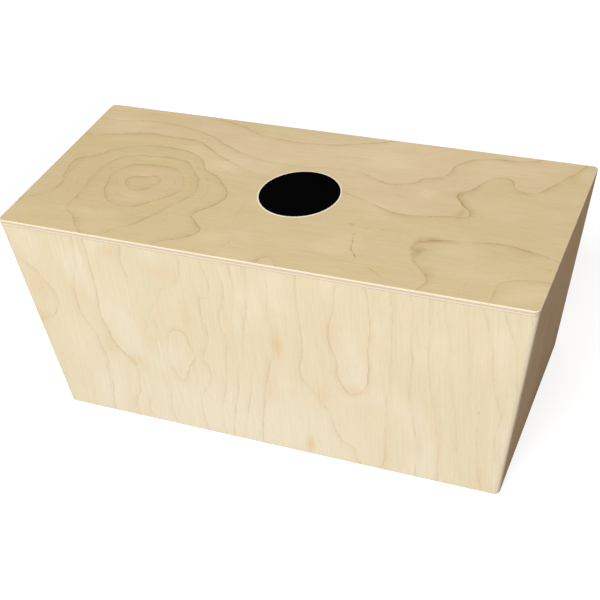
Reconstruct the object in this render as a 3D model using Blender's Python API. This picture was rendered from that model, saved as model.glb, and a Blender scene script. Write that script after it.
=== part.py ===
# Bongo cajon: a wooden box drum with one playing plate over two air chambers.
# Metres, +Z up. The origin is at the middle of the underside. The front faces -Y
# and the long side runs along X. The two short sides lean inwards downwards.

import bpy
import bmesh
from math import asin, cos, hypot, pi, sin, sqrt
from mathutils import Matrix, Vector

# Outer size of the box
top_length = 0.400
bottom_length = 0.350
depth = 0.176
height = 0.170

# Sheet thicknesses
wall = 0.009
plate_thickness = 0.004
bottom_thickness = 0.009
partition_thickness = 0.009

# Rounding of the upright corners, and of the plate's upper and the walls' lower edges
corner_radius = 0.004
plate_ease = 0.0010
foot_ease = 0.0010

# Glue line between neighbouring pieces
glue_line = 0.0003

# The partition stands off centre, in a groove in the front and the back
partition_x = 0.026
groove_depth = 0.003

# Sound ports in the back, one for each chamber
low_port_radius = 0.036
high_port_radius = 0.028
port_height = 0.086
port_round_over = 0.0030

# Softwood blocks behind the mitred corners
block_leg = 0.018
block_tip = 0.003
block_top_clearance = 0.012

# Softwood battens round the bottom of both chambers
batten_width = 0.012
batten_height = 0.012
batten_chamfer = 0.0025

# Fineness of the round stretches
corner_segments = 6
ease_segments = 3
port_segments = 64
round_over_segments = 4
smooth_below = pi / 6

# How far a cutter runs past the face that it cuts, and how near points are one point
cutter_reach = 0.004
merge_distance = 0.000001

# Values worked out from the sizes above
slope = (top_length - bottom_length) / 2 / height
tilt_cosine = 1 / hypot(1, slope)
wall_top = height - plate_thickness - glue_line
floor_top = bottom_thickness + glue_line
inner_face = wall + glue_line


def half_length(z):
    """Half the outer length of the box at height z."""
    return bottom_length / 2 + slope * z


def leaning_x(inset, z):
    """X of the plane that lies inset behind the right side's outer face, at height z."""
    return half_length(z) - inset / tilt_cosine


def quarter_levels(radius, segments):
    """Pairs of height and inset up a quarter round, from its flat end to its upright end."""
    steps = [pi / 2 * i / segments for i in range(segments + 1)]
    return [(radius * (1 - cos(angle)), radius * (1 - sin(angle))) for angle in steps]


def remove_all_objects():
    for item in list(bpy.data.objects):
        bpy.data.objects.remove(item, do_unlink=True)


def wood(name, colour, roughness):
    """A plain wood finish."""
    material = bpy.data.materials.new(name)
    material.use_nodes = True
    shader = material.node_tree.nodes["Principled BSDF"]
    shader.inputs["Base Color"].default_value = (*colour, 1.0)
    shader.inputs["Roughness"].default_value = roughness
    shader.inputs["Metallic"].default_value = 0.0
    return material


def skin(name, rings, material, parent, location=(0, 0, 0), half_turn=False):
    """A closed solid through rings of points, each ring at its own height, from below to above."""
    mesh = bpy.data.meshes.new(name)
    bm = bmesh.new()
    loops = [[bm.verts.new(point) for point in ring] for ring in rings]
    count = len(loops[0])
    for lower, upper in zip(loops, loops[1:]):
        for i in range(count):
            j = (i + 1) % count
            bm.faces.new((lower[i], lower[j], upper[j], upper[i]))
    bm.faces.new(list(reversed(loops[0])))
    bm.faces.new(loops[-1])
    bmesh.ops.recalc_face_normals(bm, faces=bm.faces)
    bm.to_mesh(mesh)
    bm.free()
    mesh.materials.append(material)
    mesh.shade_smooth()
    mesh.set_sharp_from_angle(angle=smooth_below)
    solid = bpy.data.objects.new(name, mesh)
    solid.location = location
    solid.rotation_euler.z = pi if half_turn else 0.0
    solid.parent = parent
    bpy.context.collection.objects.link(solid)
    return solid


def corner_arc(z, inset, first, last):
    """Points round the front right corner, as seen from above, between two angles.

    The corner is round about the leaning edge line, so a level cut through it is an
    arc that is a little longer along X. Angle 0 points along +X.
    """
    radius = corner_radius - inset
    points = []
    for i in range(corner_segments + 1):
        angle = first + (last - first) * i / corner_segments
        x = leaning_x(corner_radius, z) + radius * cos(angle) / tilt_cosine
        y = -depth / 2 + corner_radius + radius * sin(angle)
        points.append((x, y, z))
    return points


def mitre_angle(inset):
    """How far round the corner, past its half, a mitred end stops to leave the glue line."""
    return asin(glue_line / 2 / (corner_radius - inset))


def mirrored(points):
    """The same points on the other side of X = 0, in reverse order."""
    return [(-x, y, z) for x, y, z in reversed(points)]


def long_panel_ring(z, inset):
    """Level outline of the front panel, with its mitred ends."""
    back = -depth / 2 + wall
    mitre_step = glue_line / sqrt(2)
    corner = corner_arc(z, inset, -pi / 2, -pi / 4 - mitre_angle(inset))
    inner_x = leaning_x(wall + mitre_step, z)
    return mirrored(corner) + corner + [(inner_x, back, z), (-inner_x, back, z)]


def side_panel_ring(z, inset):
    """Level outline of the right side panel, with its mitred ends."""
    mitre_step = glue_line / sqrt(2)
    corner = corner_arc(z, inset, -pi / 4 + mitre_angle(inset), 0.0)
    far_corner = [(x, -y, z) for x, y, z in reversed(corner)]
    inner_x = leaning_x(wall, z)
    inner_y = depth / 2 - wall - mitre_step
    return corner + far_corner + [(inner_x, inner_y, z), (inner_x, -inner_y, z)]


def wall_levels():
    """Heights and insets of a wall's outlines: an eased lower edge, then straight up."""
    return quarter_levels(foot_ease, ease_segments) + [(wall_top, 0.0)]


def moved(ring, offset):
    """A ring brought into its object's own frame."""
    return [tuple(Vector(point) - Vector(offset)) for point in ring]


def long_panel(name, half_turn, material, parent):
    """The front panel, or, turned half a turn, the back panel."""
    place = Vector((0, -depth / 2, 0))
    rings = [moved(long_panel_ring(z, inset), place) for z, inset in wall_levels()]
    location = -place if half_turn else place
    panel = skin(name, rings, material, parent, location, half_turn)
    face = 1 if half_turn else -1
    cut(panel, groove_cutter(name + "_groove_cutter", face, parent))
    return panel


def side_panel(name, half_turn, material, parent):
    """The right side panel, or, turned half a turn, the left one."""
    place = Vector((bottom_length / 2, 0, 0))
    rings = [moved(side_panel_ring(z, inset), place) for z, inset in wall_levels()]
    location = -place if half_turn else place
    return skin(name, rings, material, parent, location, half_turn)


def rectangle(x_1, x_2, y_1, y_2, z):
    """A level rectangle between two X and two Y values."""
    return [(x_1, y_1, z), (x_2, y_1, z), (x_2, y_2, z), (x_1, y_2, z)]


def playing_plate(material, parent):
    """The thin top, trimmed flush with the walls, its upper edge eased."""
    underside = height - plate_thickness
    upper = [(height - rise, inset) for rise, inset in reversed(quarter_levels(plate_ease, ease_segments))]
    place = Vector((0, 0, underside))
    rings = []
    for z, inset in [(underside, 0.0)] + upper:
        right_front = corner_arc(z, inset, -pi / 2, 0.0)
        right_back = [(x, -y, z) for x, y, z in reversed(right_front)]
        right = right_front + right_back
        rings.append(moved(right + mirrored(right), place))
    return skin("playing_plate", rings, material, parent, place)


def bottom_panel(material, parent):
    """The bottom, between the four walls, its ends bevelled to the leaning sides."""
    half_depth = depth / 2 - inner_face
    rings = []
    for z in (0.0, bottom_thickness):
        half = leaning_x(inner_face, z)
        rings.append(rectangle(-half, half, -half_depth, half_depth, z))
    return skin("bottom_panel", rings, material, parent)


def partition(material, parent):
    """The board between the chambers, its edges let into the grooves of front and back."""
    half_thickness = partition_thickness / 2
    half_width = depth / 2 - wall + groove_depth - glue_line
    heights = (0.0, wall_top - floor_top)
    rings = [rectangle(-half_thickness, half_thickness, -half_width, half_width, z) for z in heights]
    return skin("partition", rings, material, parent, (partition_x, 0, floor_top))


def placed_ring(corner_points, z, side, face):
    """Level outline from pairs of distances behind the side's and the front's outer faces.

    side is 1 on the right and -1 on the left, face is -1 at the front and 1 at the back.
    """
    ring = [(side * leaning_x(a, z), face * (depth / 2 - b), z) for a, b in corner_points]
    return ring if side * face < 0 else list(reversed(ring))


def corner_block(name, side, face, material, parent):
    """A three-cornered block behind one mitred corner, from the bottom to below the plate."""
    near = inner_face
    far = inner_face + block_leg
    shoulder = inner_face + block_tip
    outline = [(near, near), (near, far), (shoulder, far), (far, shoulder), (far, near)]
    place = Vector((side * leaning_x(near, floor_top), face * (depth / 2 - near), floor_top))
    heights = (floor_top, wall_top - block_top_clearance)
    rings = [moved(placed_ring(outline, z, side, face), place) for z in heights]
    return skin(name, rings, material, parent, place)


def batten_levels():
    """Heights of a batten's outlines, with how far its chamfer has cut into its width."""
    top = floor_top + batten_height
    return [(floor_top, 0.0), (top - batten_chamfer, 0.0), (top, batten_chamfer)]


def long_batten(name, side, face, material, parent):
    """A batten along the front or back, from a corner block to the partition."""
    outer_end = inner_face + block_leg + glue_line
    near = depth / 2 - inner_face
    inner_x = partition_x + side * (partition_thickness / 2 + glue_line)
    place = Vector((inner_x, face * near, floor_top))
    rings = []
    for z, cut_in in batten_levels():
        outer_x = side * leaning_x(outer_end, z)
        far = near - batten_width + cut_in
        rings.append(moved(rectangle(inner_x, outer_x, face * near, face * far, z), place))
    return skin(name, rings, material, parent, place)


def side_batten(name, side, material, parent):
    """A batten along a leaning side, between its two corner blocks, planed to the slope."""
    half_run = depth / 2 - inner_face - block_leg - glue_line
    place = Vector((side * leaning_x(inner_face, floor_top), 0, floor_top))
    rings = []
    for z, cut_in in batten_levels():
        outer_x = side * leaning_x(inner_face, z)
        inner_x = side * leaning_x(inner_face + batten_width - cut_in, z)
        rings.append(moved(rectangle(inner_x, outer_x, -half_run, half_run, z), place))
    return skin(name, rings, material, parent, place)


def cutter_object(name, bm, location, parent):
    """A cutter made of the given mesh, which is left out of the finished box."""
    mesh = bpy.data.meshes.new(name)
    bm.to_mesh(mesh)
    bm.free()
    cutter = bpy.data.objects.new(name, mesh)
    cutter.location = location
    cutter.parent = parent
    cutter.hide_render = True
    cutter.display_type = "WIRE"
    bpy.context.collection.objects.link(cutter)
    return cutter


def groove_cutter(name, face, parent):
    """A block that cuts the partition's groove, from the bottom panel up through the wall's top."""
    width = partition_thickness + 2 * glue_line
    across = groove_depth + cutter_reach
    rise = wall_top - bottom_thickness + cutter_reach
    middle_y = face * (depth / 2 - wall + groove_depth - across / 2)
    bm = bmesh.new()
    bmesh.ops.create_cube(bm, size=1.0, matrix=Matrix.Diagonal((width, across, rise, 1.0)))
    return cutter_object(name, bm, (partition_x, middle_y, bottom_thickness + rise / 2), parent)


def port_cutter(name, centre_x, radius, parent):
    """A turned cutter for one sound port, flared at the outer face into a round-over."""
    profile = [(0.0, -cutter_reach), (radius, -cutter_reach)]
    for i in range(round_over_segments + 1):
        angle = pi / 2 * i / round_over_segments
        out = radius + port_round_over * (1 - cos(angle))
        along = wall - port_round_over + port_round_over * sin(angle)
        profile.append((out, along))
    profile += [(radius + port_round_over, wall + cutter_reach), (0.0, wall + cutter_reach)]

    bm = bmesh.new()
    points = [bm.verts.new((out, along, 0.0)) for out, along in profile]
    edges = [bm.edges.new(pair) for pair in zip(points, points[1:])]
    bmesh.ops.spin(
        bm,
        geom=points + edges,
        axis=(0, 1, 0),
        cent=(0, 0, 0),
        angle=2 * pi,
        steps=port_segments,
        use_merge=True,
    )
    bmesh.ops.remove_doubles(bm, verts=bm.verts, dist=merge_distance)
    bmesh.ops.recalc_face_normals(bm, faces=bm.faces)
    return cutter_object(name, bm, (centre_x, depth / 2 - wall, port_height), parent)


def chamber_middle(side):
    """X of the middle of a chamber at the ports' height: 1 on the right, -1 on the left."""
    outer = side * leaning_x(wall, port_height)
    inner = partition_x + side * partition_thickness / 2
    return (outer + inner) / 2


def cut(panel, cutter):
    """Takes the cutter's shape out of the panel."""
    modifier = panel.modifiers.new(cutter.name, "BOOLEAN")
    modifier.operation = "DIFFERENCE"
    modifier.solver = "EXACT"
    modifier.object = cutter


def build():
    remove_all_objects()
    birch_top = wood("birch_playing_plate", (0.64, 0.50, 0.33), 0.50)
    birch_wall = wood("birch_walls", (0.78, 0.65, 0.46), 0.50)
    birch_inner = wood("birch_inner_boards", (0.74, 0.60, 0.42), 0.65)
    pine = wood("softwood_battens", (0.72, 0.52, 0.30), 0.70)

    box = bpy.data.objects.new("bongo_cajon", None)
    bpy.context.collection.objects.link(box)

    playing_plate(birch_top, box)
    long_panel("front_panel", False, birch_wall, box)
    back = long_panel("back_panel", True, birch_wall, box)
    side_panel("right_side_panel", False, birch_wall, box)
    side_panel("left_side_panel", True, birch_wall, box)
    bottom_panel(birch_inner, box)
    partition(birch_inner, box)

    cut(back, port_cutter("low_port_cutter", chamber_middle(-1), low_port_radius, box))
    cut(back, port_cutter("high_port_cutter", chamber_middle(1), high_port_radius, box))

    for face, face_name in ((-1, "front"), (1, "back")):
        corner_block("corner_block_" + face_name + "_left", -1, face, pine, box)
        corner_block("corner_block_" + face_name + "_right", 1, face, pine, box)
        long_batten("bottom_batten_" + face_name + "_low", -1, face, pine, box)
        long_batten("bottom_batten_" + face_name + "_high", 1, face, pine, box)
    side_batten("bottom_batten_side_low", -1, pine, box)
    side_batten("bottom_batten_side_high", 1, pine, box)


build()
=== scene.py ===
# Looks of the bongo cajon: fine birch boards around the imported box, a roundel on the
# playing plate, soft studio light and the camera. Metres, +Z up, the front faces -Y.

from math import asin, cos, hypot, pi, radians, sin, sqrt

import bmesh
import bpy
import numpy as np
from mathutils import Matrix, Vector


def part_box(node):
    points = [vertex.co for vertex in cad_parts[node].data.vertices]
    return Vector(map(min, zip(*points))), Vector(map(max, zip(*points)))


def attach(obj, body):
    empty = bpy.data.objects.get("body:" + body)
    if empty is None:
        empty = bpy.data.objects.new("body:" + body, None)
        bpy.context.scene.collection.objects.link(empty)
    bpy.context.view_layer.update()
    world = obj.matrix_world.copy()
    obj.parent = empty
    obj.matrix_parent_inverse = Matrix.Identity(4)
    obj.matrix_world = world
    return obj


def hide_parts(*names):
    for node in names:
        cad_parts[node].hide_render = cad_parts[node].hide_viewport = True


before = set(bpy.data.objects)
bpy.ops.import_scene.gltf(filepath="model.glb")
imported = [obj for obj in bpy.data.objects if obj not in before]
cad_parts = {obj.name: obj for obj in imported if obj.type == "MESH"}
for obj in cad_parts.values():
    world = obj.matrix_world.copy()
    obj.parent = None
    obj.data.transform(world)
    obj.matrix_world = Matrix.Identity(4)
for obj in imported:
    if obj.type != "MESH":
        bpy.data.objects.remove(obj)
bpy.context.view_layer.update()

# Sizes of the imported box
top_length = 0.400
bottom_length = 0.350
wall = 0.009
plate_low, plate_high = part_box("playing_plate")
partition_low, partition_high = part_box("partition")
height = plate_high.z
depth = plate_high.y - plate_low.y
plate_thickness = plate_high.z - plate_low.z
partition_thickness = partition_high.x - partition_low.x
wall_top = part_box("front_panel")[1].z
bottom_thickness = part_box("bottom_panel")[1].z
slope = (top_length - bottom_length) / 2 / height
tilt_cosine = 1 / hypot(1, slope)

# Rounding of the edges
corner_radius = 0.004
plate_ease = 0.0007
foot_ease = 0.0010
corner_segments = 10
ease_segments = 5
sharp_angle = radians(28)

# Joints: the hairline at a mitre, and the groove that the partition stands in
mitre_gap = 0.00008
mitre_step = mitre_gap / sqrt(2)
groove_depth = 0.003
groove_play = 0.0003
groove_left = partition_low.x - groove_play
groove_right = partition_high.x + groove_play

# Sound ports in the back
port_height = 0.086
low_port_radius = 0.036
high_port_radius = 0.028
port_round_over = 0.0030
port_inner_ease = 0.0006
port_segments = 6
port_margin = 0.006
port_face_shares = (0.35, 0.7, 0.93)

# Roundel on the plate, with its pale rim
roundel_x = 0.0027
roundel_radius = 0.0308
roundel_rim = 0.0010
roundel_thickness = 0.00012
roundel_ease = 0.0001
roundel_sink = 0.00005
roundel_segments = 128
roundel_flat_rings = (0.010, 0.020, roundel_radius - 0.002)

# Fineness of the boards' faces
cell = 0.0025
upright_columns_reach = 0.160
leaning_columns = 8
merge_distance = 0.000001
millimetres = 1000.0

# Light: lamps as name, place, size, power and colour, and the glow of floor and room
lamp_target = (0, 0, 0.09)
lamps = (
    ("key", (-0.15, -3.25, 3.15), 2.0, 235.0, (1.0, 1.0, 1.0)),
    ("fill_right", (3.4, 0.5, 0.8), 2.0, 22.0, (1.0, 0.84, 0.77)),
    ("fill_back", (-2.0, 3.4, 0.7), 1.6, 100.0, (1.0, 0.95, 0.88)),
)
room_light = 0.09
floor_reach = 6.0
floor_grey = 0.27
floor_glow = 0.84
glow_start = 0.35
glow_end = 1.6

# Camera, fitted to the outline of the box in the photograph. The last angle is how far the
# picture's horizontal falls.
camera_place = (0.3329, -0.6998, 0.6624)
camera_azimuth = radians(25.84)
camera_fall = radians(37.25)
camera_tilt = radians(-4.87)
camera_lens = 75.93

# Colours of the veneers as linear red, green and blue: the ground, the pinkish ground, the
# pale ground, the ring line, the warm spots and the long grain at an edge
plate_colours = ((0.645, 0.525, 0.288), (0.728, 0.556, 0.360), (0.780, 0.640, 0.412),
                 (0.420, 0.295, 0.130), (0.550, 0.385, 0.180), (0.880, 0.780, 0.630))
wall_colours = ((0.795, 0.700, 0.475), (0.830, 0.685, 0.475), (0.885, 0.800, 0.630),
                (0.600, 0.435, 0.250), (0.790, 0.570, 0.340), (0.880, 0.790, 0.640))
# The sides' colours are the walls' birch made darker and warmer: painted shade of the side faces.
shaded_side_colours = ((0.720, 0.555, 0.350), (0.745, 0.555, 0.360), (0.800, 0.650, 0.460),
                (0.470, 0.320, 0.170), (0.690, 0.480, 0.280), (0.860, 0.730, 0.540))
inner_colours = ((0.70, 0.56, 0.38), (0.74, 0.55, 0.38), (0.78, 0.64, 0.46),
                 (0.47, 0.34, 0.18), (0.60, 0.40, 0.20), (0.80, 0.67, 0.49))
light_end_grain = (0.92, 0.84, 0.77)
dark_end_grain = (0.74, 0.61, 0.50)
glue_colour = (0.30, 0.19, 0.09)
early_pine = (0.74, 0.56, 0.34)
late_pine = (0.50, 0.29, 0.13)
black_ink = (0.0010, 0.0010, 0.0011)
worn_ink = (0.0024, 0.0023, 0.0022)
rim_ink = (0.90, 0.82, 0.64)
white = (1.0, 1.0, 1.0)

# Directions
up = (0.0, 0.0, 1.0)
down = (0.0, 0.0, -1.0)
right = (1.0, 0.0, 0.0)
back = (0.0, 1.0, 0.0)
forward = (0.0, -1.0, 0.0)
right_side_up = (slope * tilt_cosine, 0.0, tilt_cosine)
right_side_inwards = (-tilt_cosine, 0.0, slope * tilt_cosine)
left_side_up = (-slope * tilt_cosine, 0.0, tilt_cosine)
left_side_inwards = (tilt_cosine, 0.0, slope * tilt_cosine)

# Ring lines of the playing plate, as distances in millimetres from its middle. Lines of
# the same level are one height of the grain, as on a map.
plate_ring_lines = (
    (0.0, ((-119, -9), (-113, -4), (-106, -10), (-113, -24), (-128, -24), (-132, -14))),
    (1.0, ((-144, -24), (-136, -40), (-114, -48), (-85, -20), (-95, 4), (-112, 9), (-140, 4), (-146, -8))),
    (2.0, ((-126, -88), (-148, -68), (-159, -60), (-160, -8), (-152, 12), (-134, 20), (-112, 23),
           (-96, 19), (-80, 2), (-74, -12), (-80, -34), (-90, -56), (-104, -74))),
    (3.0, ((-200, -58), (-192, -52), (-181, -42), (-180, -28), (-186, -10), (-185, 4), (-170, 14),
           (-156, 28), (-136, 35), (-112, 35), (-96, 30), (-80, 14), (-62, 2), (-50, -10), (-47, -20),
           (-58, -38), (-62, -44), (-56, -52), (-47, -62), (-60, -76), (-72, -84))),
    (4.0, ((-200, 38), (-190, 40), (-180, 43), (-162, 48), (-140, 52), (-114, 51), (-100, 50),
           (-84, 40), (-66, 30), (-40, 18), (-20, 14), (50, 6), (60, 0), (76, -6), (90, -6),
           (110, -2), (128, 2), (126, 10), (118, 18), (113, 30), (122, 36), (128, 50), (136, 57),
           (144, 56), (150, 43), (156, 41), (168, 44), (176, 58), (190, 84))),
    (5.0, ((-200, 66), (-174, 66), (-162, 69), (-140, 70), (-114, 66), (-100, 61), (-92, 58),
           (-80, 50), (-62, 42), (-48, 38), (-24, 34), (0, 36), (34, 40), (50, 32), (62, 29),
           (80, 35), (82, 42), (94, 45), (100, 52), (100, 64), (112, 76), (140, 80), (156, 84))),
    (6.0, ((-76, 80), (-60, 72), (-40, 69), (-14, 68), (0, 70), (20, 76), (40, 84))),
    (6.4, ((-30, 86), (0, 86))),
    (3.5, ((52, -24), (60, -42), (68, -62), (88, -76), (98, -88))),
    (3.0, ((200, -33), (186, -28), (166, -24), (148, -24), (128, -27), (112, -30), (102, -34),
           (110, -40), (112, -44), (105, -50), (108, -60), (118, -68), (123, -78), (118, -88))),
    (2.0, ((167, -82), (168, -66), (180, -59), (198, -56))),
    (3.7, ((-10, -70), (30, -60), (-20, -40), (30, -40), (-24, -10), (40, -8), (30, -80), (80, -20),
           (140, -12), (180, -8))),
    (3.25, ((78, -40), (84, -56), (94, -70))),
    (4.0, ((6, -88), (7, -82), (12, -79), (18, -84), (20, -88))),
    (4.2, ((12, -86),)),
    (4.45, ((92, 23), (92, 10), (70, 14), (104, 40))),
    (3.6, ((-14, 0), (20, -4))),
    (4.5, ((0, 26),)),
    (-0.35, ((-120, -16),)),
    (5.6, ((20, 60), (60, 56), (60, 76), (80, 84))),
    (4.5, ((170, 76), (140, 70), (116, 56))),
    (3.6, ((150, 20), (182, 14), (192, 44), (134, 30), (176, 32))),
    (5.7, ((-190, 84), (-120, 84))),
    (2.5, ((150, -60), (150, -40))),
    (1.6, ((190, -80),)),
)

# Ring lines of the front board, as distances in millimetres from its top middle
front_ring_lines = (
    (0.0, ((-194, -26), (-188, -34), (-172, -51), (-165, -60), (-164, -68), (-168, -80), (-182, -88))),
    (-0.6, ((-177, -54), (-180, -70))),
    (1.0, ((-138, -6), (-139, -24), (-142, -38), (-147, -54), (-147, -62), (-145, -74), (-138, -88),
           (-134, -100), (-131, -114), (-132, -124), (-134, -165))),
    (2.0, ((-130, -6), (-129, -26), (-127, -44), (-128, -66), (-127, -80), (-122, -94), (-116, -106),
           (-106, -114), (-105, -128), (-108, -144), (-112, -166))),
    (3.0, ((-99, -10), (-97, -34), (-91, -48), (-88, -70), (-94, -110), (-92, -166))),
    (4.0, ((-54, -6), (-55, -22), (-62, -34), (-72, -38), (-76, -48), (-86, -66), (-84, -100), (-80, -166))),
    (5.0, ((-72, -78), (-60, -76), (-57, -90), (-59, -106), (-64, -120), (-69, -121), (-75, -108),
           (-76, -90))),
    (5.6, ((-66, -98),)),
    (4.6, ((-48, -70), (-50, -110), (-66, -60))),
    (5.0, ((-42, -50), (-40, -66), (-41, -80), (-46, -100), (-50, -130), (-52, -166))),
    (5.0, ((-36, -10), (-32, -26), (-33, -38), (-42, -41), (-45, -33))),
    (6.0, ((-24, -74), (-30, -112), (-36, -168))),
    (7.0, ((-15, -6), (-14, -34), (-19, -54), (-17, -80), (-22, -128), (-30, -168))),
    (8.0, ((-2, -10), (-5, -36), (-12, -76), (-11, -120), (-20, -168))),
    (9.0, ((14, -60), (12, -80), (4, -104), (0, -120), (-3, -140), (-6, -166))),
    (10.0, ((30, -88), (42, -108), (50, -122), (54, -140), (60, -150), (68, -154), (69, -166))),
    (10.0, ((88, -166), (91, -152), (92, -128), (95, -100), (98, -86), (100, -50), (102, -10))),
    (11.0, ((62, -12), (60, -32), (56, -46), (56, -60), (60, -76), (62, -92), (67, -101), (78, -94),
            (82, -80), (83, -58), (85, -36), (84, -8))),
    (11.7, ((71, -40), (70, -80))),
    (9.4, ((4, -168), (10, -148), (26, -138), (34, -148), (37, -168))),
    (3.4, ((-88, -140), (-94, -152), (-97, -162))),
    (9.0, ((111, -92), (112, -168))),
    (9.0, ((116, -10), (114, -60))),
    (8.0, ((128, -98), (131, -128), (130, -168))),
    (8.0, ((128, -10), (126, -60))),
    (7.0, ((138, -10), (140, -70), (141, -168))),
    (6.0, ((153, -20), (155, -80), (158, -128), (162, -166))),
    (5.0, ((166, -16), (170, -52), (176, -96), (174, -150))),
    (4.0, ((178, -8), (186, -40), (184, -100))),
)

# Soft oval spots of a board: place in millimetres as above, reach along X and upwards, and
# strength. They are warm, pale, with bolder ring lines, or with quieter ones. The front's
# broad pale spot low in the middle is painted light: the glow that the floor throws up.
plate_spots = (
    ((112, -31, 7, 3, 1.0), (104, -33, 3, 2, 0.8), (122, 5, 3, 9, 0.55), (114, 28, 3, 6, 0.45),
     (-196, 40, 6, 4, 0.45), (-181, -6, 4, 20, 0.40), (-112, -12, 16, 9, 0.22), (-168, 77, 42, 9, 0.30),
     (-140, -20, 70, 60, 0.26), (-190, 20, 26, 60, 0.20), (176, -30, 18, 4, 0.25),
     (160, 10, 60, 60, 0.12), (121, -68, 4, 10, 0.35), (187, 68, 4, 14, 0.35)),
    ((92, 23, 6, 6, 0.75), (-68, 20, 9, 6, 0.65), (-130, 18, 10, 5, 0.45), (-122, -6, 8, 4, 0.30),
     (146, 20, 22, 14, 0.25), (150, -60, 26, 14, 0.30), (-70, 48, 8, 5, 0.45), (-140, -62, 18, 8, 0.30),
     (20, 60, 70, 26, 0.25)),
    ((112, -32, 26, 6, 1.0), (108, -44, 8, 12, 0.7), (120, 16, 12, 22, 0.8), (-54, -44, 12, 24, 0.3),
     (-128, 4, 34, 14, 0.2), (160, -26, 26, 6, 0.4), (72, -56, 22, 36, 3.0)),
    ((-40, 22, 18, 14, 0.8), (-20, 34, 34, 10, 0.8), (50, 6, 16, 12, 0.7), (20, 38, 26, 8, 0.6),
     (90, -8, 26, 6, 0.3), (86, -22, 28, 6, 1.0), (150, -16, 56, 7, 1.0), (180, -70, 26, 22, 0.5)),
)
front_spots = (
    ((-177, -54, 8, 12, 0.40), (-184, -86, 7, 8, 0.60), (15, -70, 4, 11, 0.85), (33, -160, 3, 9, 0.90),
     (-106, -112, 7, 5, 0.50), (-55, -60, 3, 15, 0.45), (57, -50, 3, 14, 0.45), (83, -70, 3, 18, 0.45),
     (71, -98, 9, 4, 0.45), (46, -108, 5, 9, 0.45), (-110, -12, 9, 6, 0.40), (-70, -22, 14, 9, 0.30),
     (139, -60, 3, 14, 0.30), (168, -45, 4, 18, 0.35), (131, -130, 3, 24, 0.35), (-126, -98, 4, 12, 0.30),
     (162, -150, 5, 16, 0.30), (-147, -58, 4, 12, 0.30), (92, -150, 3, 14, 0.30), (5, -110, 4, 16, 0.30)),
    # Painted light: this first pale spot brightens the lower middle of the front as the floor's glow would.
    ((-20, -150, 120, 44, 0.62), (30, -118, 16, 14, 0.35), (70, -60, 10, 20, 0.35), (-66, -98, 7, 16, 0.40),
     (-150, -110, 22, 40, 0.30), (-110, -60, 16, 26, 0.25), (60, -160, 30, 16, 0.30)),
    ((-140, -40, 14, 40, 0.3), (-112, -112, 12, 20, 0.5), (72, -86, 16, 22, 0.5), (46, -116, 14, 22, 0.4)),
    ((150, -80, 44, 110, 0.65), (-94, -110, 9, 70, 0.85), (-84, -110, 9, 60, 0.7), (10, -40, 30, 60, 0.5),
     (-40, -140, 26, 40, 0.4), (96, -90, 7, 90, 0.4), (-190, -4, 24, 12, 1.0), (70, -60, 8, 24, 0.8)),
)
no_spots = ((), (), (), ())

# How ring maps are read: bounds on the rings that a millimetre crosses, the softness of the
# drawn maps, and the step in millimetres that a slope is measured over
least_run = 0.012
most_run = 0.35
spline_softness = 20.0
slope_step = 0.5


def half_length(z):
    """Half the outer length of the box at height z."""
    return bottom_length / 2 + slope * z


def leaning_x(inset, z):
    """X of the plane that lies inset behind the right side's outer face, at height z."""
    return half_length(z) - inset / tilt_cosine


def chamber_middle(side):
    """X of the middle of a chamber at the ports' height: 1 on the right, -1 on the left."""
    partition_face = partition_high.x if side > 0 else partition_low.x
    return (side * leaning_x(wall, port_height) + partition_face) / 2


def steps(first, last, size):
    """Evenly spaced values from first to last, about size apart."""
    count = max(1, round((last - first) / size))
    return [first + (last - first) * i / count for i in range(count + 1)]


def nearest(values, wanted):
    """Index of the value that lies nearest to the wanted one."""
    return min(range(len(values)), key=lambda i: abs(values[i] - wanted))


def quarter_levels(radius, segments):
    """Pairs of height and inset up a quarter round, from its flat end to its upright end."""
    angles = [pi / 2 * i / segments for i in range(segments + 1)]
    return [(radius * (1 - cos(a)), radius * (1 - sin(a))) for a in angles]


def corner_arc(z, inset, first, last):
    """Points round the front right corner between two angles. Angle 0 points along +X."""
    radius = corner_radius - inset
    points = []
    for i in range(corner_segments + 1):
        angle = first + (last - first) * i / corner_segments
        x = leaning_x(corner_radius, z) + radius * cos(angle) / tilt_cosine
        y = -depth / 2 + corner_radius + radius * sin(angle)
        points.append((x, y, z))
    return points


def mirrored(points):
    """The same points on the other side of X = 0, in reverse order."""
    return [(-x, y, z) for x, y, z in reversed(points)]


def face_columns(end_x):
    """X values across a long board: upright columns in the middle, leaning ones at its ends."""
    reach = upright_columns_reach
    ends = [reach + (end_x - reach) * i / leaning_columns for i in range(1, leaning_columns + 1)]
    return [-x for x in reversed(ends)] + steps(-reach, reach, cell) + ends


def wall_levels():
    """Height and inset of a wall's outlines from below, and whether each is above the bottom panel."""
    low_rows = quarter_levels(foot_ease, ease_segments)
    low_rows += [(z, 0.0) for z in steps(foot_ease, bottom_thickness, cell)[1:]]
    levels = [(z, inset, False) for z, inset in low_rows]
    return levels + [(z, 0.0, True) for z in steps(bottom_thickness, wall_top, cell)]


def inner_outline(z, grooved):
    """The inner face of a long board from right to left, with the two lips of its groove."""
    face_y = -depth / 2 + wall
    bed_y = face_y - groove_depth if grooved else face_y
    columns = list(reversed(face_columns(leaning_x(wall + mitre_step, z))))
    before = [(x, face_y, z) for x in columns if x >= groove_right]
    within = [(x, bed_y, z) for x in columns if groove_left < x < groove_right]
    after = [(x, face_y, z) for x in columns if x <= groove_left]
    right_lip = [(groove_right, face_y, z), (groove_right, bed_y, z)]
    left_lip = [(groove_left, bed_y, z), (groove_left, face_y, z)]
    return before + right_lip + within + left_lip + after


def mitre_angle(inset):
    """Angle that half a mitre's hairline takes off a corner's arc."""
    return asin(mitre_gap / 2 / (corner_radius - inset))


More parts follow.
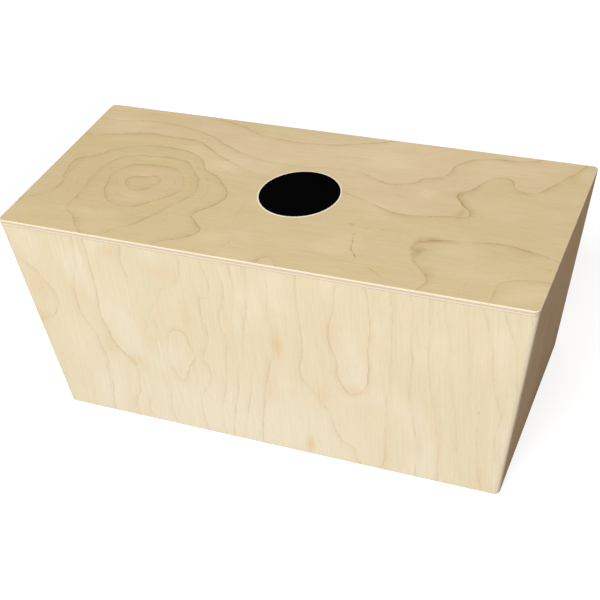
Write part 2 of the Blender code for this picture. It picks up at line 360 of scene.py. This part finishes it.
def long_board_rings():
    """Outlines of the front board from below to above."""
    rings = []
    for z, inset, grooved in wall_levels():
        corner = corner_arc(z, inset, -pi / 2, -pi / 4 - mitre_angle(inset))
        columns = face_columns(leaning_x(corner_radius, z))[1:-1]
        outer = [(x, -depth / 2 + inset, z) for x in columns]
        rings.append(mirrored(corner) + outer + corner + inner_outline(z, grooved))
    return rings


def side_board_rings():
    """Outlines of the right side board from below to above."""
    half_width = depth / 2 - corner_radius
    inner_y = depth / 2 - wall - mitre_step
    rings = []
    for z, inset, _ in wall_levels():
        corner = corner_arc(z, inset, -pi / 4 + mitre_angle(inset), 0.0)
        far_corner = [(x, -y, z) for x, y, z in reversed(corner)]
        face = [(corner[-1][0], y, z) for y in steps(-half_width, half_width, cell)][1:-1]
        inner_x = leaning_x(wall, z)
        rings.append(corner + face + far_corner + [(inner_x, inner_y, z), (inner_x, -inner_y, z)])
    return rings


def skin(bm, rows, skipped=()):
    """Faces between rows of vertices that are each closed in themselves."""
    count = len(rows[0])
    for k, (lower, upper) in enumerate(zip(rows, rows[1:])):
        for i in range(count):
            j = (i + 1) % count
            if (k, i) not in skipped:
                bm.faces.new((lower[i], lower[j], upper[j], upper[i]))


def loft(bm, rings, skipped=()):
    """Skins a stack of outlines of equal count. Returns the rows of vertices."""
    rows = [[bm.verts.new(point) for point in ring] for ring in rings]
    skin(bm, rows, skipped)
    return rows


def close_ends(bm, rows):
    """A face over the lowest row and one over the highest."""
    bm.faces.new(list(reversed(rows[0])))
    bm.faces.new(rows[-1])


def tidy_mesh(bm, turned=False):
    """Merges points that coincide, turns all faces outwards, and may turn the mesh by half a turn."""
    bmesh.ops.remove_doubles(bm, verts=bm.verts, dist=merge_distance)
    bmesh.ops.dissolve_degenerate(bm, edges=bm.edges, dist=merge_distance)
    bmesh.ops.recalc_face_normals(bm, faces=bm.faces)
    if turned:
        bmesh.ops.transform(bm, matrix=Matrix.Rotation(pi, 4, "Z"), verts=bm.verts)


def piece(name, bm, material, slot, *nodes):
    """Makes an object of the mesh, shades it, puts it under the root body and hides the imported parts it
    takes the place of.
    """
    mesh = bpy.data.meshes.new(name)
    bm.to_mesh(mesh)
    bm.free()
    mesh.materials.append(material)
    mesh.shade_smooth()
    mesh.set_sharp_from_angle(angle=sharp_angle)
    made = bpy.data.objects.new(name, mesh)
    bpy.context.collection.objects.link(made)
    weighted = made.modifiers.new("even_shading", "WEIGHTED_NORMAL")
    weighted.keep_sharp = True
    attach(made, "root")
    if nodes:
        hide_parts(*nodes)
    return made


class RingMap:
    """A smooth height over a board, through the ring lines, by thin plate splines."""

    def __init__(self, lines):
        rows = [(x, y, level) for level, points in lines for x, y in points]
        data = np.array(rows, float)
        self.places = data[:, :2]
        count = len(data)
        bending = self.bending(self.places) + spline_softness * np.eye(count)
        flat = np.hstack([np.ones((count, 1)), self.places])
        system = np.block([[bending, flat], [flat.T, np.zeros((3, 3))]])
        self.weights = np.linalg.solve(system, np.concatenate([data[:, 2], np.zeros(3)]))

    def bending(self, points):
        gap = points[:, None, :] - self.places[None, :, :]
        square = (gap ** 2).sum(axis=2)
        return 0.5 * square * np.log(np.maximum(square, 1e-9))

    def height(self, points):
        flat = np.hstack([np.ones((len(points), 1)), points])
        return np.hstack([self.bending(points), flat]) @ self.weights


class HillMap:
    """A smooth height over a made-up board, as a slope and a few soft oval hills."""

    def __init__(self, seed, width, rise, lean, count):
        draw = np.random.default_rng(seed)
        self.lean = np.array(lean)
        self.hills = []
        for _ in range(count):
            x = draw.uniform(-width / 2, width / 2)
            y = draw.uniform(0, rise)
            reach = draw.uniform(14, 42)
            tall = draw.uniform(-2.4, 2.4)
            self.hills.append((x, y, reach, reach * draw.uniform(1.2, 2.6), tall))

    def height(self, points):
        total = points @ self.lean
        for hill in self.hills:
            total = total + soft_spot(points, *hill)
        return total


def soft_spot(points, x, y, reach_x, reach_y, strength):
    """How strongly a soft oval spot shows at each point."""
    square = ((points[:, 0] - x) / reach_x) ** 2 + ((points[:, 1] - y) / reach_y) ** 2
    return strength * np.exp(-square)


def strongest(points, spots):
    """How strongly the strongest of some spots shows at each point."""
    total = np.zeros(len(points))
    for spot in spots:
        total = np.maximum(total, soft_spot(points, *spot))
    return total


def write_rings(made, ring_map, across, upward, spots=no_spots, top=0.0):
    """Keeps each vertex's ring level, how many rings a millimetre crosses there, and its spots.

    Spots are measured upwards from the height top.
    """
    mesh = made.data
    places = np.zeros(len(mesh.vertices) * 3)
    mesh.vertices.foreach_get("co", places)
    places = places.reshape(-1, 3) * millimetres
    points = np.stack([places @ np.array(across), places @ np.array(upward)], axis=1)
    slopes = []
    for step in ([slope_step, 0], [0, slope_step]):
        rise = ring_map.height(points + step) - ring_map.height(points - step)
        slopes.append(rise / (2 * slope_step))
    warm, pale, bold, quiet = [strongest(points - [0, top], kind) for kind in spots]
    layers = (
        ("ring_level", ring_map.height(points)),
        ("ring_run", np.clip(np.hypot(*slopes), least_run, most_run)),
        ("warmth", warm),
        ("pale_wood_and_painted_bounce", pale),
        ("emphasis", (1 + bold) * (1 - quiet)),
    )
    for name, values in layers:
        layer = mesh.attributes.new(name, "FLOAT", "POINT")
        layer.data.foreach_set("value", values.astype(np.float32))


class Graph:
    """Adds nodes to a tree, with numbers or sockets as inputs."""

    def __init__(self, tree):
        self.nodes = tree.nodes
        self.links = tree.links

    def node(self, kind):
        return self.nodes.new("ShaderNode" + kind)

    def put(self, value, socket):
        if isinstance(value, bpy.types.NodeSocket):
            self.links.new(value, socket)
        else:
            socket.default_value = value

    def maths(self, operation, *values, clamp=False):
        node = self.node("Math")
        node.operation = operation
        node.use_clamp = clamp
        for value, socket in zip(values, node.inputs):
            self.put(value, socket)
        return node.outputs[0]

    def dot(self, vector, direction):
        node = self.node("VectorMath")
        node.operation = "DOT_PRODUCT"
        self.put(vector, node.inputs[0])
        node.inputs[1].default_value = direction
        return node.outputs["Value"]

    def length(self, vector):
        node = self.node("VectorMath")
        node.operation = "LENGTH"
        self.put(vector, node.inputs[0])
        return node.outputs["Value"]

    def along(self, place, direction, offset=0.0):
        """Millimetres along a direction, from a place in metres."""
        distance = self.dot(place, [millimetres * c for c in direction])
        return self.maths("ADD", distance, offset)

    def vector(self, x, y, z):
        node = self.node("CombineXYZ")
        for value, socket in zip((x, y, z), node.inputs):
            self.put(value, socket)
        return node.outputs[0]

    def noise(self, x, y, z, detail=2.0, roughness=0.5):
        node = self.node("TexNoise")
        node.inputs["Scale"].default_value = 1.0
        node.inputs["Detail"].default_value = detail
        node.inputs["Roughness"].default_value = roughness
        self.put(self.vector(x, y, z), node.inputs["Vector"])
        return node.outputs["Fac"]

    def chance(self, value):
        """The same random number wherever the value is the same."""
        node = self.node("TexWhiteNoise")
        node.noise_dimensions = "1D"
        self.put(value, node.inputs["W"])
        return node.outputs["Value"]

    def over(self, value, size):
        return self.maths("DIVIDE", value, size)

    def smooth(self, value, first, last, low=0.0, high=1.0):
        """Goes softly from low to high as the value goes from first to last."""
        node = self.node("MapRange")
        node.interpolation_type = "SMOOTHSTEP"
        self.put(value, node.inputs["Value"])
        node.inputs["From Min"].default_value = first
        node.inputs["From Max"].default_value = last
        node.inputs["To Min"].default_value = low
        node.inputs["To Max"].default_value = high
        return node.outputs["Result"]

    def blend(self, share, first, second, kind="MIX"):
        node = self.node("Mix")
        node.data_type = "RGBA"
        node.blend_type = kind
        self.put(share, node.inputs[0])
        for value, socket in ((first, node.inputs[6]), (second, node.inputs[7])):
            self.put(value if isinstance(value, bpy.types.NodeSocket) else (*value, 1.0), socket)
        return node.outputs[2]

    def darken(self, colour, value):
        return self.blend(1.0, colour, self.vector(value, value, value), kind="MULTIPLY")

    def read(self, attribute):
        node = self.node("Attribute")
        node.attribute_name = attribute
        return node.outputs["Fac"]

    def object_place(self):
        node = self.node("TexCoord")
        return node.outputs["Object"], node.outputs["Normal"]

    def sees_background(self):
        """1 for rays from the camera, in reflections and through glass, and 0 for light."""
        path = self.node("LightPath")
        seen = self.maths("MAXIMUM", path.outputs["Is Camera Ray"], path.outputs["Is Glossy Ray"])
        return self.maths("MAXIMUM", seen, path.outputs["Is Transmission Ray"])


class Surface(Graph):
    """The graph of one material, with its shader."""

    def __init__(self, name):
        self.material = bpy.data.materials.new(name)
        self.material.use_nodes = True
        super().__init__(self.material.node_tree)
        self.shader = self.nodes["Principled BSDF"]

    def finish(self, colour, roughness, relief, strength, distance):
        """Gives the shader its colour, its roughness and a fine relief."""
        bump = self.node("Bump")
        bump.inputs["Strength"].default_value = strength
        bump.inputs["Distance"].default_value = distance
        self.put(relief, bump.inputs["Height"])
        self.put(bump.outputs["Normal"], self.shader.inputs["Normal"])
        self.put(colour, self.shader.inputs["Base Color"])
        self.put(roughness, self.shader.inputs["Roughness"])
        return self.material


class Birch(Surface):
    """Rotary-cut birch plywood.

    directions are those of the face veneer's fibres, across them, and into the board, and
    face_offset makes the depth 0 at the face. Patterns are sized in millimetres along and
    across the fibres. A drawn board has its rings from write_rings.
    """

    def __init__(self, name, colours, directions, face_offset, thickness, plies, seed, drawn, line_strength):
        super().__init__(name)
        self.ground, self.pinkish, self.pale, self.line, self.warm, self.rim = colours
        self.grain, self.cross, face = directions
        self.ply = thickness / plies * millimetres
        self.seed = seed
        self.drawn = drawn
        self.line_strength = line_strength
        place, self.normal = self.object_place()
        self.length_at = self.along(place, self.grain, seed * 37.0)
        self.width_at = self.along(place, self.cross, seed * 53.0)
        self.depth_at = self.along(place, face, face_offset)

    def pattern(self, length, width, layer, detail=2.0, roughness=0.5):
        """Noise with patches of a length along the fibres and a width across them."""
        x = self.over(self.length_at, length)
        y = self.over(self.width_at, width)
        return self.noise(x, y, layer, detail, roughness)

    def rings(self):
        """The ring level, and how many rings a millimetre crosses, with a wavy course."""
        coarse = self.pattern(26, 9, self.seed * 3.1)
        fine = self.pattern(7, 0.8, self.seed * 1.7, 3, 0.6)
        coarse_sway = self.maths("MULTIPLY_ADD", coarse, 3.6, -1.8)
        fine_sway = self.maths("MULTIPLY_ADD", fine, 3.0, -1.5)
        sway = self.maths("ADD", coarse_sway, fine_sway)
        if self.drawn:
            run = self.read("ring_run")
            level = self.read("ring_level")
        else:
            run = 0.06
            level = self.maths("MULTIPLY", self.pattern(150, 46, self.seed * 2.3, 1), 9.0)
        return self.maths("MULTIPLY_ADD", sway, run, level), run

    def ground_colour(self, level, mottle):
        """The wood between the lines: each ring its own tint, clouds, specks and spots, one pale spot being
        painted bounce light.
        """
        own = self.chance(self.maths("ADD", self.maths("FLOOR", level), self.seed * 11.0 + 0.5))
        cloud = self.maths("MULTIPLY_ADD", mottle, 1.2, -0.40)
        tint = self.maths("MULTIPLY_ADD", own, 0.45, cloud, clamp=True)
        colour = self.blend(tint, self.ground, self.pinkish)
        speck = self.pattern(6, 2.2, self.seed * 2.9 + 70, 2, 0.6)
        colour = self.blend(self.smooth(speck, 0.50, 0.72, 0.0, 0.45), colour, self.pinkish)
        light = self.pattern(60, 34, self.seed * 9.1 + 3)
        colour = self.blend(self.smooth(light, 0.50, 0.74, 0.0, 0.45), colour, self.pale)
        if self.drawn:
            # The pale spots are the wood's own paler patches and, low on the front, painted bounce light
            # from the floor.
            wisp = self.maths("MULTIPLY_ADD", speck, 1.1, 0.45)
            for attribute, shade in (("pale_wood_and_painted_bounce", self.pale), ("warmth", self.warm)):
                share = self.maths("MULTIPLY", self.read(attribute), wisp, clamp=True)
                colour = self.blend(share, colour, shade)
        return colour

    def lined(self, colour, level, run):
        """Draws a line at each whole level, and a faint one half way. Returns the line too."""
        part = self.maths("FRACT", self.maths("ADD", level, 100.0))
        past = self.maths("DIVIDE", part, run)
        ahead = self.maths("DIVIDE", self.maths("SUBTRACT", 1.0, part), run)
        sharp_side = self.smooth(past, 0.0, 0.55, 1.0, 0.0)
        core = self.maths("MAXIMUM", sharp_side, self.smooth(ahead, 0.0, 1.3, 1.0, 0.0))
        shade = self.smooth(ahead, 0.0, 9.0, 1.0, 0.0)
        shade = self.maths("MULTIPLY", shade, shade)

        emphasis = self.read("emphasis") if self.drawn else 1.0
        strength = self.pattern(24, 12, self.seed * 5.3 + 40, 3, 0.6)
        strength = self.smooth(strength, 0.36, 0.62, 0.28 * self.line_strength, self.line_strength)
        strength = self.maths("MULTIPLY", strength, emphasis, clamp=True)

        half = self.maths("FRACT", self.maths("ADD", level, 100.5))
        near = self.maths("DIVIDE", self.maths("MINIMUM", half, self.maths("SUBTRACT", 1.0, half)), run)
        faint = self.pattern(18, 8, self.seed * 3.7 + 11, 3, 0.6)
        faint_line = self.smooth(near, 0.0, 0.8, 0.42 * self.line_strength, 0.0)
        faint = self.maths("MULTIPLY", self.smooth(faint, 0.46, 0.64), faint_line)

        colour = self.blend(self.maths("MULTIPLY", faint, emphasis, clamp=True), colour, self.line)
        shadow = self.maths("MULTIPLY", shade, self.maths("MULTIPLY", strength, 0.40))
        colour = self.blend(shadow, colour, self.line)
        return self.blend(self.maths("MULTIPLY", core, strength), colour, self.line), core

    def fibres(self):
        """How light the fibres leave each place, the fibres alone, and the pores alone."""
        streak = self.pattern(44, 1.6, self.seed * 4.1, 3, 0.6)
        fibre = self.pattern(9, 0.28, self.over(self.depth_at, 1.0), 3, 0.65)
        light_streak = self.maths("MULTIPLY_ADD", streak, 0.16, 0.92)
        light_fibre = self.maths("MULTIPLY_ADD", fibre, 0.16, -0.08)
        value = self.maths("ADD", light_streak, light_fibre)
        pore = self.smooth(self.pattern(2.6, 0.13, self.over(self.depth_at, 0.5), 1), 0.66, 0.78)
        value = self.maths("SUBTRACT", value, self.maths("MULTIPLY", pore, 0.14))
        dash = self.pattern(7, 0.8, self.seed * 6.7 + 21, 1)
        return self.maths("SUBTRACT", value, self.smooth(dash, 0.70, 0.84, 0.0, 0.14)), fibre, pore

    def edged(self, colour):
        """Shows the plies and glue lines on faces that turn away from the face veneer."""
        layer = self.maths("MULTIPLY", self.depth_at, 0.9999 / self.ply)
        crossed = self.maths("MODULO", self.maths("FLOOR", layer), 2.0)
        straight = self.maths("SUBTRACT", 1.0, crossed)
        even = self.maths("ABSOLUTE", self.dot(self.normal, self.grain))
        odd = self.maths("ABSOLUTE", self.dot(self.normal, self.cross))
        end_odd = self.maths("MULTIPLY", crossed, odd)
        end_grain = self.maths("ADD", end_odd, self.maths("MULTIPLY", straight, even), clamp=True)
        on_edge = self.smooth(self.maths("MAXIMUM", even, odd), 0.2, 0.6)
        rough_ends = self.pattern(0.5, 0.5, self.over(self.depth_at, 0.3))
        light, dark = [[c * d for c, d in zip(self.rim, tone)] for tone in (light_end_grain, dark_end_grain)]
        sawn = self.blend(rough_ends, light, dark)
        colour = self.blend(self.maths("MULTIPLY", on_edge, 0.85), colour, self.rim)
        colour = self.blend(self.maths("MULTIPLY", end_grain, on_edge), colour, sawn)

        middle = self.maths("SUBTRACT", self.maths("FRACT", self.maths("ADD", layer, 0.5)), 0.5)
        glue = self.smooth(self.maths("ABSOLUTE", middle), 0.02, 0.07, 1.0, 0.0)
        glue = self.maths("MULTIPLY", glue, self.smooth(self.depth_at, 0.5, 0.9))
        glue = self.maths("MULTIPLY", glue, on_edge)
        return self.blend(self.maths("MULTIPLY", glue, 0.35), colour, glue_colour)


def birch(name, colours, directions, face_offset, thickness, plies, seed, drawn=True, line_strength=0.5):
    """A matt birch plywood material, put together from its parts."""
    wood = Birch(name, colours, directions, face_offset, thickness, plies, seed, drawn, line_strength)
    level, run = wood.rings()
    mottle = wood.pattern(34, 13, seed * 7.9 + 9, 3, 0.55)
    colour, core = wood.lined(wood.ground_colour(level, mottle), level, run)
    value, fibre, pore = wood.fibres()
    colour = wood.edged(wood.darken(colour, value))
    roughness = wood.maths("MULTIPLY_ADD", mottle, 0.10, 0.53)
    roughness = wood.maths("ADD", roughness, wood.maths("MULTIPLY", pore, 0.12))
    relief = wood.maths("SUBTRACT", fibre, wood.maths("MULTIPLY", pore, 0.8))
    relief = wood.maths("SUBTRACT", relief, wood.maths("MULTIPLY", core, 0.12))
    wood.shader.inputs["Specular IOR Level"].default_value = 0.0
    return wood.finish(colour, roughness, relief, strength=0.3, distance=0.00012)


def softwood(name, grain, cross, seed):
    """Planed softwood, with straight dark late wood between broad pale bands."""
    wood = Surface(name)
    place, _ = wood.object_place()
    third = Vector(grain).cross(Vector(cross))
    length_at = wood.along(place, grain, seed * 31.0)
    width_at = wood.along(place, cross)
    depth_at = wood.along(place, third)
    bend = wood.noise(wood.over(length_at, 120), wood.over(width_at, 30), wood.over(depth_at, 30), 1)
    level = wood.maths("MULTIPLY_ADD", width_at, 0.38, wood.maths("MULTIPLY", depth_at, 0.22))
    level = wood.maths("ADD", level, wood.maths("MULTIPLY", bend, 3.0))
    part = wood.maths("FRACT", wood.maths("ADD", level, 100.0))
    late = wood.maths("MULTIPLY", wood.smooth(part, 0.45, 0.95), wood.smooth(part, 0.96, 1.0, 1.0, 0.0))
    fibre = wood.noise(wood.over(length_at, 10), wood.over(width_at, 0.3), wood.over(depth_at, 0.3), 3)
    colour = wood.blend(late, early_pine, late_pine)
    colour = wood.darken(colour, wood.maths("MULTIPLY_ADD", fibre, 0.20, 0.90))
    roughness = wood.maths("MULTIPLY_ADD", fibre, 0.15, 0.60)
    return wood.finish(colour, roughness, fibre, strength=0.4, distance=0.0002)


def ink(name):
    """Matt black printing ink that follows the grain below it, with a thin pale rim."""
    print_ink = Surface(name)
    place, _ = print_ink.object_place()
    x = print_ink.along(place, right)
    y = print_ink.along(place, back)
    fibre = print_ink.noise(print_ink.over(x, 9), print_ink.over(y, 0.3), 0.0, 3)
    cloud = print_ink.noise(print_ink.over(x, 12), print_ink.over(y, 12), 3.0)
    out = print_ink.length(print_ink.vector(print_ink.maths("SUBTRACT", x, roundel_x * millimetres), y, 0.0))
    rim_start = (roundel_radius - roundel_rim) * millimetres
    on_rim = print_ink.smooth(out, rim_start - 0.1, rim_start + 0.1)
    colour = print_ink.blend(on_rim, print_ink.blend(cloud, black_ink, worn_ink), rim_ink)
    roughness = print_ink.maths("MULTIPLY_ADD", fibre, 0.10, 0.85)
    print_ink.shader.inputs["Specular IOR Level"].default_value = 0.0
    return print_ink.finish(colour, roughness, fibre, strength=0.3, distance=0.0001)


# Where the outer face of a long board starts in its outline, its columns, and where the
# inner face starts
face_start = corner_segments
face_count = len(face_columns(top_length / 2))
inner_start = face_start + face_count + corner_segments


def port_patch(rings, port):
    """First and last column, and lowest and highest level, of the square that holds a port."""
    centre_x, radius = port
    reach = radius + port_round_over + port_margin
    columns = [point[0] for point in rings[-1][face_start:face_start + face_count]]
    levels = [ring[0][2] for ring in rings]
    first, last = [nearest(columns, centre_x + side * reach) for side in (-1, 1)]
    low, high = [nearest(levels, port_height + side * reach) for side in (-1, 1)]
    return first, last, low, high


def inner_index(column, port):
    """Where the inner face's point behind an outer column stands in an outline, near a port."""
    lips = sum(2 for edge in (groove_left, groove_right) if port[0] < edge)
    return inner_start + face_count - 1 - column + lips


def patch_faces(patch, port):
    """The outer and inner faces of a board that a port's patch takes out."""
    first, last, low, high = patch
    faces = set()
    for k in range(low, high):
        for i in range(first, last):
            faces.add((k, face_start + i))
            faces.add((k, inner_index(i + 1, port)))
    return faces


def cut_port(bm, rows, patch, port):
    """Fills a patch with the face round a port, its round-over, its bore and its inner rim."""
    centre_x, radius = port
    first, last, low, high = patch
    border = [(low, i) for i in range(first, last)]
    border += [(k, last) for k in range(low, high)]
    border += [(high, i) for i in range(last, first, -1)]
    border += [(k, first) for k in range(high, low, -1)]
    outer = [rows[k][face_start + i] for k, i in border]
    inner = [rows[k][inner_index(i, port)] for k, i in border]

    face_y = -depth / 2
    middle = Vector((centre_x, face_y, port_height))
    spokes = [(vert.co - middle).normalized() for vert in outer]
    flare = [middle + spoke * (radius + port_round_over) for spoke in spokes]
    loops = [outer]
    for share in port_face_shares:
        loops.append([bm.verts.new(vert.co.lerp(rim, share)) for vert, rim in zip(outer, flare)])
    profile = [(radius + inset, rise) for rise, inset in quarter_levels(port_round_over, port_segments)]
    profile += [(radius, wall - port_inner_ease), (radius + port_inner_ease, wall)]
    for out, deep in profile:
        places = [(centre_x + s.x * out, face_y + deep, port_height + s.z * out) for s in spokes]
        loops.append([bm.verts.new(place) for place in places])
    loops.append([bm.verts.new(rim.co.lerp(vert.co, 0.5)) for rim, vert in zip(loops[-1], inner)])
    loops.append(inner)
    skin(bm, loops)


def long_board(name, ports, turned, material, ring_map, node, spots=no_spots):
    """The front board, or, turned half a turn, the back board with its sound ports."""
    rings = long_board_rings()
    patches = [port_patch(rings, port) for port in ports]
    skipped = set()
    for patch, port in zip(patches, ports):
        skipped |= patch_faces(patch, port)
    bm = bmesh.new()
    rows = loft(bm, rings, skipped)
    close_ends(bm, rows)
    for patch, port in zip(patches, ports):
        cut_port(bm, rows, patch, port)
    tidy_mesh(bm, turned)
    made = piece(name, bm, material, "birch_wall", node)
    across = (-1, 0, 0) if turned else (1, 0, 0)
    write_rings(made, ring_map, across, up, spots, height * millimetres)


def side_board(name, turned, material, ring_map, node):
    """The right side board, or, turned half a turn, the left one."""
    bm = bmesh.new()
    close_ends(bm, loft(bm, side_board_rings()))
    tidy_mesh(bm, turned)
    made = piece(name, bm, material, "birch_wall", node)
    write_rings(made, ring_map, forward if turned else back, up)


def plate(name, material, ring_map, spots):
    """The playing plate: a fine flat face, an eased edge and a leaning or upright rim."""
    half_x = leaning_x(corner_radius, height)
    half_y = depth / 2 - corner_radius
    columns = steps(-half_x, half_x, cell)
    lines = steps(-half_y, half_y, cell)

    def outline(z, inset):
        """The plate's outline from its front left corner to its right side, and the other half."""
        corner = corner_arc(z, inset, -pi / 2, 0.0)
        stretch = leaning_x(corner_radius, z) / half_x
        front = [(x * stretch, -depth / 2 + inset, z) for x in columns][1:-1]
        side = [(corner[-1][0], y, z) for y in lines][1:-1]
        half = mirrored(corner) + front + corner + side
        return half + [(-x, -y, z) for x, y, z in half]

    levels = [(height, corner_radius), (height, (corner_radius + plate_ease) / 2)]
    levels += [(height - rise, inset) for rise, inset in quarter_levels(plate_ease, ease_segments)]
    levels.append((height - plate_thickness, 0.0))
    bm = bmesh.new()
    rows = loft(bm, [outline(z, inset) for z, inset in levels])
    bm.faces.new(rows[-1])
    grid = [[bm.verts.new((x, y, height)) for x in columns] for y in lines]
    for near, far in zip(grid, grid[1:]):
        for i in range(len(columns) - 1):
            bm.faces.new((near[i], near[i + 1], far[i + 1], far[i]))
    tidy_mesh(bm)
    made = piece(name, bm, material, "birch_top", "playing_plate")
    write_rings(made, ring_map, right, back, spots)


def roundel(name, material):
    """A thin printed disc in the middle of the plate, with a soft rim."""
    radius = roundel_radius
    thick = roundel_thickness
    profile = [(out, thick) for out in roundel_flat_rings]
    profile += [(radius - roundel_ease, thick), (radius - roundel_ease * 0.3, thick * 0.75),
                (radius, thick * 0.3), (radius, -roundel_sink)]
    angles = [2 * pi * i / roundel_segments for i in range(roundel_segments)]
    rings = []
    for out, rise in profile:
        rings.append([(roundel_x + out * cos(a), out * sin(a), height + rise) for a in angles])
    bm = bmesh.new()
    close_ends(bm, loft(bm, rings))
    tidy_mesh(bm)
    piece(name, bm, material, "birch_top")


def floor():
    """The pale floor, which shows white and keeps the object's shadow."""
    bm = bmesh.new()
    bmesh.ops.create_grid(bm, x_segments=8, y_segments=8, size=floor_reach)
    mesh = bpy.data.meshes.new("floor")
    bm.to_mesh(mesh)
    bm.free()
    ground = bpy.data.objects.new("floor", mesh)
    bpy.context.collection.objects.link(ground)
    paint = Surface("floor_white")
    paint.shader.inputs["Roughness"].default_value = 0.9
    paint.shader.inputs["Specular IOR Level"].default_value = 0.0
    paint.shader.inputs["Base Color"].default_value = (floor_grey, floor_grey, floor_grey, 1.0)
    place, _ = paint.object_place()
    glow = paint.node("Emission")
    glow.inputs["Color"].default_value = (*white, 1.0)
    brightness = paint.smooth(paint.length(place), glow_start, glow_end, floor_glow, 1.0)
    paint.put(paint.maths("MULTIPLY", paint.sees_background(), brightness), glow.inputs["Strength"])
    both = paint.node("AddShader")
    paint.put(paint.shader.outputs["BSDF"], both.inputs[0])
    paint.put(glow.outputs["Emission"], both.inputs[1])
    paint.put(both.outputs["Shader"], paint.nodes["Material Output"].inputs["Surface"])
    mesh.materials.append(paint.material)


def room():
    """A world that shows white and gives a weak even light."""
    world = bpy.data.worlds.new("white_room")
    bpy.context.scene.world = world
    world.use_nodes = True
    graph = Graph(world.node_tree)
    background = graph.nodes["Background"]
    background.inputs["Color"].default_value = (*white, 1.0)
    strength = graph.maths("MULTIPLY_ADD", graph.sees_background(), 1.0 - room_light, room_light)
    graph.put(strength, background.inputs["Strength"])


def area_lamp(name, place, size, power, colour):
    data = bpy.data.lights.new(name, "AREA")
    data.shape = "SQUARE"
    data.size = size
    data.energy = power
    data.color = colour
    lamp = bpy.data.objects.new(name, data)
    lamp.location = place
    lamp.rotation_euler = (Vector(lamp_target) - Vector(place)).to_track_quat("-Z", "Y").to_euler()
    bpy.context.collection.objects.link(lamp)


def camera():
    """The photograph's view: where the lens stands, where it looks, and how it is tilted."""
    level = Vector((-sin(camera_azimuth), cos(camera_azimuth), 0.0))
    ahead = level * cos(camera_fall) + Vector(down) * sin(camera_fall)
    level_right = ahead.cross(Vector(up)).normalized()
    level_up = level_right.cross(ahead)
    roll = asin(sin(camera_tilt) / cos(camera_fall))
    camera_right = level_right * cos(roll) + level_up * sin(roll)
    camera_up = camera_right.cross(ahead)
    data = bpy.data.cameras.new("camera")
    data.lens = camera_lens
    data.sensor_width = 36.0
    data.clip_start = 0.01
    eye = bpy.data.objects.new("camera", data)
    turn = Matrix((camera_right, camera_up, -ahead)).transposed().to_4x4()
    eye.matrix_world = Matrix.Translation(camera_place) @ turn
    bpy.context.collection.objects.link(eye)
    bpy.context.scene.camera = eye


def boards():
    """The plate, its roundel and the four walls."""
    face_offset = depth / 2 * millimetres
    side_offset = bottom_length / 2 * tilt_cosine * millimetres
    plate_wood = birch("birch_plate", plate_colours, (right, back, down), height * millimetres,
                       plate_thickness, 3, seed=1, line_strength=0.56)
    front_wood = birch("birch_front", wall_colours, (up, right, back), face_offset, wall, 7, seed=2,
                       line_strength=0.40)
    back_wood = birch("birch_back", wall_colours, (up, right, forward), face_offset, wall, 7, seed=3)
    # The side boards take the darker, warmer side colours: painted shade.
    right_wood = birch("birch_right", shaded_side_colours, (right_side_up, back, right_side_inwards),
                       side_offset, wall, 7, seed=4)
    left_wood = birch("birch_left", shaded_side_colours, (left_side_up, back, left_side_inwards),
                      side_offset, wall, 7, seed=5)

    plate("plate", plate_wood, RingMap(plate_ring_lines), plate_spots)
    front_lines = []
    for level, points in front_ring_lines:
        front_lines.append((level, [(x, y + height * millimetres) for x, y in points]))
    long_board("front_board", (), False, front_wood, RingMap(front_lines), "front_panel", front_spots)
    ports = ((-chamber_middle(-1), low_port_radius), (-chamber_middle(1), high_port_radius))
    back_map = HillMap(11, 380, 170, (0.035, 0.004), 9)
    long_board("back_board", ports, True, back_wood, back_map, "back_panel")
    right_map = HillMap(5, 170, 170, (0.05, 0.004), 4)
    side_board("right_board", False, right_wood, right_map, "right_side_panel")
    left_map = HillMap(8, 170, 170, (-0.045, 0.004), 4)
    side_board("left_board", True, left_wood, left_map, "left_side_panel")
    roundel("roundel", ink("black_ink"))


def inner_parts():
    """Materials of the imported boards, blocks and battens inside."""
    bottom_wood = birch("birch_bottom", inner_colours, (right, back, up), 0.0, bottom_thickness, 7,
                        seed=6, drawn=False)
    partition_wood = birch("birch_partition", inner_colours, (up, back, right),
                           -partition_low.x * millimetres, partition_thickness, 7, seed=7, drawn=False)
    woods = (
        ("bottom_panel", bottom_wood),
        ("partition", partition_wood),
        ("corner_block", softwood("pine_upright", up, right, seed=1)),
        ("bottom_batten_side", softwood("pine_across", back, right, seed=3)),
        ("bottom_batten", softwood("pine_along", right, back, seed=2)),
    )
    for name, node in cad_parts.items():
        fitting = [material for start, material in woods if name.startswith(start)]
        if fitting:
            node.data.materials.clear()
            node.data.materials.append(fitting[0])


boards()
inner_parts()
floor()
room()
for lamp in lamps:
    area_lamp(*lamp)
camera()

bpy.context.scene.view_settings.view_transform = "Standard"
